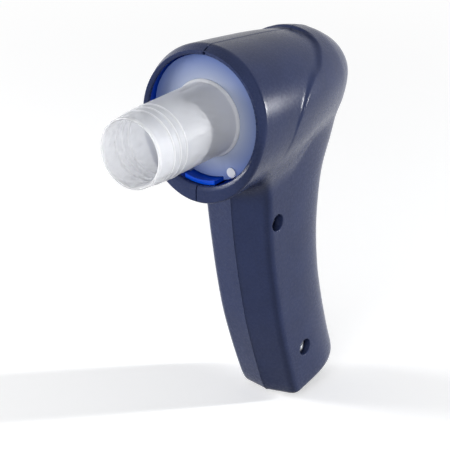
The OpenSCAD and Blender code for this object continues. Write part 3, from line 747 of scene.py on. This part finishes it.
def flange_plastic_painted_glow():
    """The moulding of the flange, painted paler near the tube as a painted glow of light through the
    tube, and bluer outwards as a painted tint of the deep blue socket behind it.
    """
    material, tree, shader = nodes_of("frosted flange with painted glow")
    coordinates = tree.nodes.new("ShaderNodeTexCoord")
    across = tree.nodes.new("ShaderNodeVectorMath")
    across.operation = "MULTIPLY"
    across.inputs[1].default_value = (1 / MM, 0, 1 / MM)
    length = tree.nodes.new("ShaderNodeVectorMath")
    length.operation = "LENGTH"
    share = tree.nodes.new("ShaderNodeMapRange")
    share.inputs["From Min"].default_value = TUBE_R
    share.inputs["From Max"].default_value = FLANGE_R
    tree.links.new(coordinates.outputs["Object"], across.inputs[0])
    tree.links.new(across.outputs["Vector"], length.inputs[0])
    tree.links.new(length.outputs["Value"], share.inputs["Value"])
    # Painted light: pale near the tube as a painted glow, deep blue outwards as a painted see-through of
    # the socket behind
    colour = ramp(tree, share.outputs["Result"], (0.37, 0.42, 0.55), (0.12, 0.18, 0.42), 0.05, 0.95)
    tree.links.new(colour, shader.inputs["Base Color"])
    tree.links.new(ramp(tree, noise(tree, 500, 2), grey(0.30), grey(0.38)), shader.inputs["Roughness"])
    shader.inputs["IOR"].default_value = FROST_IOR
    shader.inputs["Alpha"].default_value = 0.7
    bump(tree, shader, noise(tree, 1500, 2), 0.006 * MM)
    return material


FLANGE = flange_plastic_painted_glow()
SENSOR = plastic("sensor case", (0.025, 0.026, 0.03), spread=0.2, rough=(0.45, 0.55), grain=1500,
                 depth=0.015)
BOARD = plastic("board lacquer", (0.012, 0.10, 0.045), spread=0.15, rough=(0.25, 0.4), grain=1500,
                depth=0.006)
CHIP = plastic("chip resin", (0.018, 0.018, 0.019), spread=0.2, rough=(0.5, 0.62), grain=2500,
               depth=0.012)
STEEL = metal("bright steel", (0.66, 0.68, 0.71), rough=(0.30, 0.42))
BRASS = metal("turned brass", (0.74, 0.55, 0.24))
MESH = metal("fine steel mesh", (0.62, 0.63, 0.66), rough=(0.3, 0.45), streak=900)


# Housing halves
def housing_shell():
    """Both halves in one: outer skin, inner room, socket, duct and exhaust bores."""
    step, levels = ((SHELL_STEP, SHELL_LEVELS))
    mesh = field_mesh("housing", outer_field, SHELL_LOW, SHELL_HIGH, step, SHELL_BEND, levels)
    bm = bmesh.new()
    bm.from_mesh(mesh)
    for x in (-SEAM_HALF_W, SEAM_HALF_W):
        everything = bm.verts[:] + bm.edges[:] + bm.faces[:]
        place, direction = (x * MM, 0, 0), (1, 0, 0)
        bmesh.ops.bisect_plane(bm, geom=everything, dist=1e-7, plane_co=place, plane_no=direction)
    bmesh.ops.triangulate(bm, faces=bm.faces[:])
    bm.to_mesh(mesh)
    bm.free()
    shell = new_object("housing", mesh)
    room = new_object("room", field_mesh("room", cavity_field, SHELL_LOW, SHELL_HIGH, ROOM_STEP))
    combine(shell, room, "DIFFERENCE")
    start, past = DUCT_FRONT - 1, REAR_END + 5
    bores = [
        (0, start), (0, past), (PIPE_R + 1, past), (PIPE_R + PIPE_EDGE, REAR_END),
        (PIPE_R, REAR_END - PIPE_EDGE), (PIPE_R, DUCT_END), (DUCT_R, DUCT_END), (DUCT_R, start),
    ]
    combine(shell, lathe("bores", bores), "DIFFERENCE")
    outline = [(0, -20), (LINER_R, -20), (LINER_R, 0), (LINER_BACK_R, DUCT_FRONT), (0, DUCT_FRONT)]
    sleeve = lathe("sleeve", outline)
    ahead = box_object("ahead", (-60, -60, -60), (60, OPENING_Y + LIP_BACK, 60))
    tilt = math.radians(OPENING_TILT)
    for v in ahead.data.vertices:
        v.co.y += v.co.z * math.tan(tilt)
    combine(sleeve, ahead, "DIFFERENCE")
    combine(shell, sleeve, "DIFFERENCE")
    low, high = (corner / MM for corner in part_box("usb_socket"))
    socket = box_object("socket", (low.x - USB_SIDE, low.y - USB_ROOM, low.z - USB_CUT),
                        (high.x + USB_ROOM, high.y + USB_ROOM, high.z))
    combine(shell, socket, "DIFFERENCE")
    return shell


def shape_seam(mesh):
    """Draws the outer edge of the parting face out for a raised line, and in across the rim."""
    points = np.array([v.co for v in mesh.vertices], float) / MM
    on_face = np.nonzero(np.abs(points[:, 0]) < 1e-4)[0]
    edge = on_face[np.abs(outer_field(*points[on_face].T)) < SEAM_NEAR]
    normals = gradient(outer_field, points[edge])
    normals[:, 0] = 0
    normals /= np.linalg.norm(normals, axis=1)[:, None] + 1e-9
    across_rim = np.abs(points[edge, 2]) > OPENING_R - SEAM_RIM_REACH
    rise = np.where((points[edge, 1] < SEAM_RIM_Y) & across_rim, -SEAM_GROOVE, SEAM_RISE)
    for i, p in zip(edge, (points[edge] + normals * rise[:, None]) * MM):
        mesh.vertices[i].co = p


def housing_halves():
    shell = housing_shell()
    for name, side in (("left", -1), ("right", 1)):
        half = new_object("housing_" + name + "_form", shell.data.copy())
        low, high = sorted((0, side * FAR_HIGH[0]))
        box = box_object("side", (low, *FAR_LOW[1:]), (high, *FAR_HIGH[1:]))
        combine(half, box, "INTERSECT")
        shape_seam(half.data)
        shade(half, NAVY, "handset", HOUSING_ANGLE)
        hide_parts("housing_" + name)
    bpy.data.objects.remove(shell)


housing_halves()


# Breathing tube
def tube_radius(y):
    return MOUTH_R + (TUBE_R - MOUTH_R) * min(max((y + MOUTH_LEN) / TAPER_LEN, 0), 1)


def transducer_front():
    outside = [(BORE_R, -MOUTH_LEN), (MOUTH_R, -MOUTH_LEN)]
    for i in range(RING_COUNT):
        y = -MOUTH_LEN + RING_FIRST + i * RING_PITCH
        for along, height in RING_SHARES:
            outside.append((tube_radius(y) + height * RING_H, y + along * RING_W))
    outside += [
        (TUBE_R, -MOUTH_LEN + TAPER_LEN), (TUBE_R, -2 * BASE_RING), (TUBE_R + BASE_RING, -BASE_RING),
        (TUBE_R + BASE_RING, 0), (FLANGE_R, 0), (FLANGE_R, FLANGE_T), (COLLAR_R, FLANGE_T),
        (COLLAR_R, COLLAR_END), (COLLAR_BORE_R, COLLAR_END), (COLLAR_BORE_R, COLLAR_SEAT),
        (BORE_R, COLLAR_SEAT),
    ]
    front = lathe("breathing_tube_front", rounded(outside, TUBE_EDGE), 192)
    for x in (-PORT_X, PORT_X):
        combine(front, rod_object("port", PORT_R, -0.5, PORT_END, x, PORT_Z), "UNION")
        combine(front, rod_object("port bore", PORT_BORE_R, FLANGE_T, PORT_CUT, x, PORT_Z), "DIFFERENCE")
    inner, outer, half = FLANGE_NOTCH_R, 40, FLANGE_NOTCH_HALF_W
    notch = lathe("notch", [(inner, -2), (outer, -2), (outer, 4), (inner, 4)])
    combine(notch, box_object("notch sides", (-half, -3, -50), (half, 5, 0)), "INTERSECT")
    combine(front, notch, "DIFFERENCE")
    shade(front, TUBE, "breathing_tube")
    front.data.materials.append(FLANGE)
    for polygon in front.data.polygons:
        middle = polygon.center / MM
        if math.hypot(middle.x, middle.z) > TUBE_R + BASE_RING and -0.4 < middle.y < FLANGE_T + 0.1:
            polygon.material_index = 1
    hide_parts("transducer_front")


transducer_front()


# CAD nodes with their edges broken
def softened(node, material, body, width, segments=2):
    source = NODES[node].data
    points = [tuple(v.co) for v in source.vertices]
    mesh = bpy.data.meshes.new(node + "_form")
    mesh.from_pydata(points, [], [tuple(p.vertices) for p in source.polygons])
    bm = bmesh.new()
    bm.from_mesh(mesh)
    bmesh.ops.remove_doubles(bm, verts=bm.verts[:], dist=2e-6)
    bmesh.ops.dissolve_limit(bm, angle_limit=math.radians(1), verts=bm.verts[:], edges=bm.edges[:])
    sharp = [e for e in bm.edges if e.is_manifold and e.calc_face_angle() > math.radians(35)]
    bmesh.ops.bevel(bm, geom=sharp, offset=width * MM, offset_type="OFFSET", segments=segments,
                    profile=0.5, affect="EDGES", clamp_overlap=True)
    bm.to_mesh(mesh)
    bm.free()
    piece = shade(new_object(node + "_form", mesh), material, body)
    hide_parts(node)
    return piece


# The spring under the release tab: turns with its closed ends
SPRING_R = 1.3
WIRE_R = 0.25
SPRING_TURNS = 4
CLOSED_PITCH = 2.1


def tab_spring():
    """A coil with closed ends, from the foot to the top of the CAD spring's box."""
    low, high = (np.array(corner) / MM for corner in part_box("tab_spring"))
    middle = (low + high) / 2
    turn = np.linspace(0, SPRING_TURNS, 24 * SPRING_TURNS + 1)
    closed = CLOSED_PITCH * WIRE_R
    foot, top = low[2] + WIRE_R, high[2] - WIRE_R
    heights = [foot, foot + closed, top - closed, top]
    z = np.interp(turn, [0, 1, SPRING_TURNS - 1, SPRING_TURNS], heights)
    sides = 10
    points, faces = [], []
    for angle, height in zip(turn * 2 * math.pi, z):
        for side in np.arange(sides) * 2 * math.pi / sides:
            r = SPRING_R + WIRE_R * math.cos(side)
            place = (r * math.cos(angle), r * math.sin(angle), height + WIRE_R * math.sin(side))
            points.append(np.array(place) + (middle[0], middle[1], 0))
    for i in range(len(turn) - 1):
        for k in range(sides):
            a, b = i * sides + k, i * sides + (k + 1) % sides
            faces.append((a, a + sides, b + sides, b))
    faces.append(tuple(range(sides)))
    faces.append(tuple(reversed(range(len(points) - sides, len(points)))))
    spring = new_object("tab_spring_form", mesh_from("tab_spring_form", np.array(points), faces))
    shade(spring, STEEL, "handset", 50)
    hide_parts("tab_spring")
    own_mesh(spring)


tab_spring()

softened("release_tab", TAB_BLUE, "tab", 0.3)
softened("exhaust_ring", BLACK, "handset", 0.25)
softened("housing_screws", STEEL, "handset", 0.15)

FINISHES = {
    "socket_liner": LINER_BLUE, "flow_duct": PALE, "duct_seal": RUBBER, "hinge_pin": STEEL,
    "port_manifold": BLACK, "port_seals": RUBBER, "pressure_hose_left": SILICONE,
    "pressure_hose_right": SILICONE, "pressure_sensor": SENSOR, "main_board": BOARD,
    "board_chips": CHIP, "usb_socket": STEEL, "board_screws": STEEL, "screw_inserts": BRASS,
    "transducer_rear": FROST, "flow_screen": MESH,
}
for node, material in FINISHES.items():
    for place in NODES[node].material_slots:
        place.material = material

# Floor
FLOOR_Z = CAD_BOX[0][2] - 1.5 * MM
FLOOR_SIZE = 6.0
# Share of the light that the floor sends back at the object
FLOOR_BOUNCE = 0.05
FLOOR_GLOW = 0.25
# Distance from the object, in metres, over which the floor turns plain white
FLOOR_FADE = (0.3, 0.75)


def seen_directly(tree):
    """1 for rays from the camera, also by way of a gloss or through something clear, else 0."""
    path = tree.nodes.new("ShaderNodeLightPath")
    value = path.outputs["Is Camera Ray"]
    for kind in ("Is Glossy Ray", "Is Transmission Ray"):
        larger = tree.nodes.new("ShaderNodeMath")
        larger.operation = "MAXIMUM"
        tree.links.new(value, larger.inputs[0])
        tree.links.new(path.outputs[kind], larger.inputs[1])
        value = larger.outputs["Value"]
    return value


def mix_of(tree, share, first, second):
    mixer = tree.nodes.new("ShaderNodeMixShader")
    tree.links.new(share, mixer.inputs["Fac"])
    tree.links.new(first, mixer.inputs[1])
    tree.links.new(second, mixer.inputs[2])
    return mixer.outputs["Shader"]


def floor():
    mesh = bpy.data.meshes.new("floor")
    half = FLOOR_SIZE / 2
    corners = [(-half, -half), (half, -half), (half, half), (-half, half)]
    mesh.from_pydata([(x, y, FLOOR_Z) for x, y in corners], [], [(0, 1, 2, 3)])
    sheet = new_object("floor", mesh)
    material, tree, shader = nodes_of("pale floor")
    tree.links.new(ramp(tree, noise(tree, 3), grey(0.93), grey(0.95)), shader.inputs["Base Color"])
    shader.inputs["Roughness"].default_value = 0.9
    shader.inputs["Specular IOR Level"].default_value = 0.1
    dim = tree.nodes.new("ShaderNodeBsdfDiffuse")
    dim.inputs["Color"].default_value = (*grey(FLOOR_BOUNCE), 1)
    shader.inputs["Emission Color"].default_value = (1, 1, 1, 1)
    shader.inputs["Emission Strength"].default_value = FLOOR_GLOW
    white = tree.nodes.new("ShaderNodeEmission")
    far = tree.nodes.new("ShaderNodeVectorMath")
    far.operation = "LENGTH"
    away = tree.nodes.new("ShaderNodeMapRange")
    away.interpolation_type = "SMOOTHSTEP"
    away.inputs["From Min"].default_value, away.inputs["From Max"].default_value = FLOOR_FADE
    tree.links.new(tree.nodes.new("ShaderNodeTexCoord").outputs["Object"], far.inputs[0])
    tree.links.new(far.outputs["Value"], away.inputs["Value"])
    pale = mix_of(tree, away.outputs["Result"], shader.outputs["BSDF"], white.outputs["Emission"])
    seen = mix_of(tree, seen_directly(tree), dim.outputs["BSDF"], pale)
    tree.links.new(seen, tree.nodes["Material Output"].inputs["Surface"])
    sheet.data.materials.append(material)


floor()


# Light of the room at the horizon and overhead
ROOM_LIGHT = (0.12, 0.30)


def lamp(name, place, size, power, target=(0, 20, -20)):
    data = bpy.data.lights.new(name, "AREA")
    data.shape = "RECTANGLE"
    data.size, data.size_y = size
    data.energy = power
    obj = new_object(name, data)
    obj.location = place
    aim = Vector(target) * MM - obj.location
    obj.rotation_euler = aim.to_track_quat("-Z", "Y").to_euler()


def lights():
    lamp("left softbox", (-1.05, -0.48, 0.1), (0.4, 0.6), 17)
    lamp("front softbox", (0.4, -1.2, 0.25), (0.8, 0.8), 12)
    lamp("right strip", (0.89, 0.85, 0.14), (0.05, 0.2), 17)
    world = bpy.data.worlds.new("studio")
    world.use_nodes = True
    tree = world.node_tree
    room = tree.nodes["Background"]
    room.inputs["Color"].default_value = (0.95, 0.97, 1, 1)
    direction = tree.nodes.new("ShaderNodeTexCoord")
    axes = tree.nodes.new("ShaderNodeSeparateXYZ")
    rise = tree.nodes.new("ShaderNodeMapRange")
    rise.inputs["To Min"].default_value, rise.inputs["To Max"].default_value = ROOM_LIGHT
    tree.links.new(direction.outputs["Generated"], axes.inputs["Vector"])
    tree.links.new(axes.outputs["Z"], rise.inputs["Value"])
    tree.links.new(rise.outputs["Result"], room.inputs["Strength"])
    white = tree.nodes.new("ShaderNodeBackground")
    white.inputs["Strength"].default_value = 1.0
    white.inputs["Color"].default_value = (1, 1, 1, 1)
    seen = mix_of(tree, seen_directly(tree), room.outputs["Background"], white.outputs["Background"])
    tree.links.new(seen, tree.nodes["World Output"].inputs["Surface"])
    bpy.context.scene.world = world


lights()

# Camera, fitted to the photograph: the flow axis meets the flange face at a known image point
AZIMUTH = math.radians(36.55)
ELEVATION = math.radians(20.22)
DISTANCE = 1041.3
FOCAL_PX = 2500.0
IMAGE_PX = 450
ORIGIN_PX = (207.8, 117.6)


def camera():
    level = math.cos(ELEVATION)
    back = Vector((math.sin(AZIMUTH) * level, -math.cos(AZIMUTH) * level, math.sin(ELEVATION)))
    right = Vector((math.cos(AZIMUTH), math.sin(AZIMUTH), 0))
    up = back.cross(right)
    data = bpy.data.cameras.new("camera")
    data.sensor_width = 36
    data.lens = FOCAL_PX / IMAGE_PX * data.sensor_width
    data.clip_end = 20
    obj = new_object("camera", data)
    obj.location = back * DISTANCE * MM
    aside = (IMAGE_PX / 2 - ORIGIN_PX[0]) / FOCAL_PX
    below = (IMAGE_PX / 2 - ORIGIN_PX[1]) / FOCAL_PX
    aim = -back + right * aside - up * below
    obj.rotation_euler = aim.to_track_quat("-Z", "Y").to_euler()
    bpy.context.scene.camera = obj


camera()
bpy.context.scene.view_settings.view_transform = "Standard"
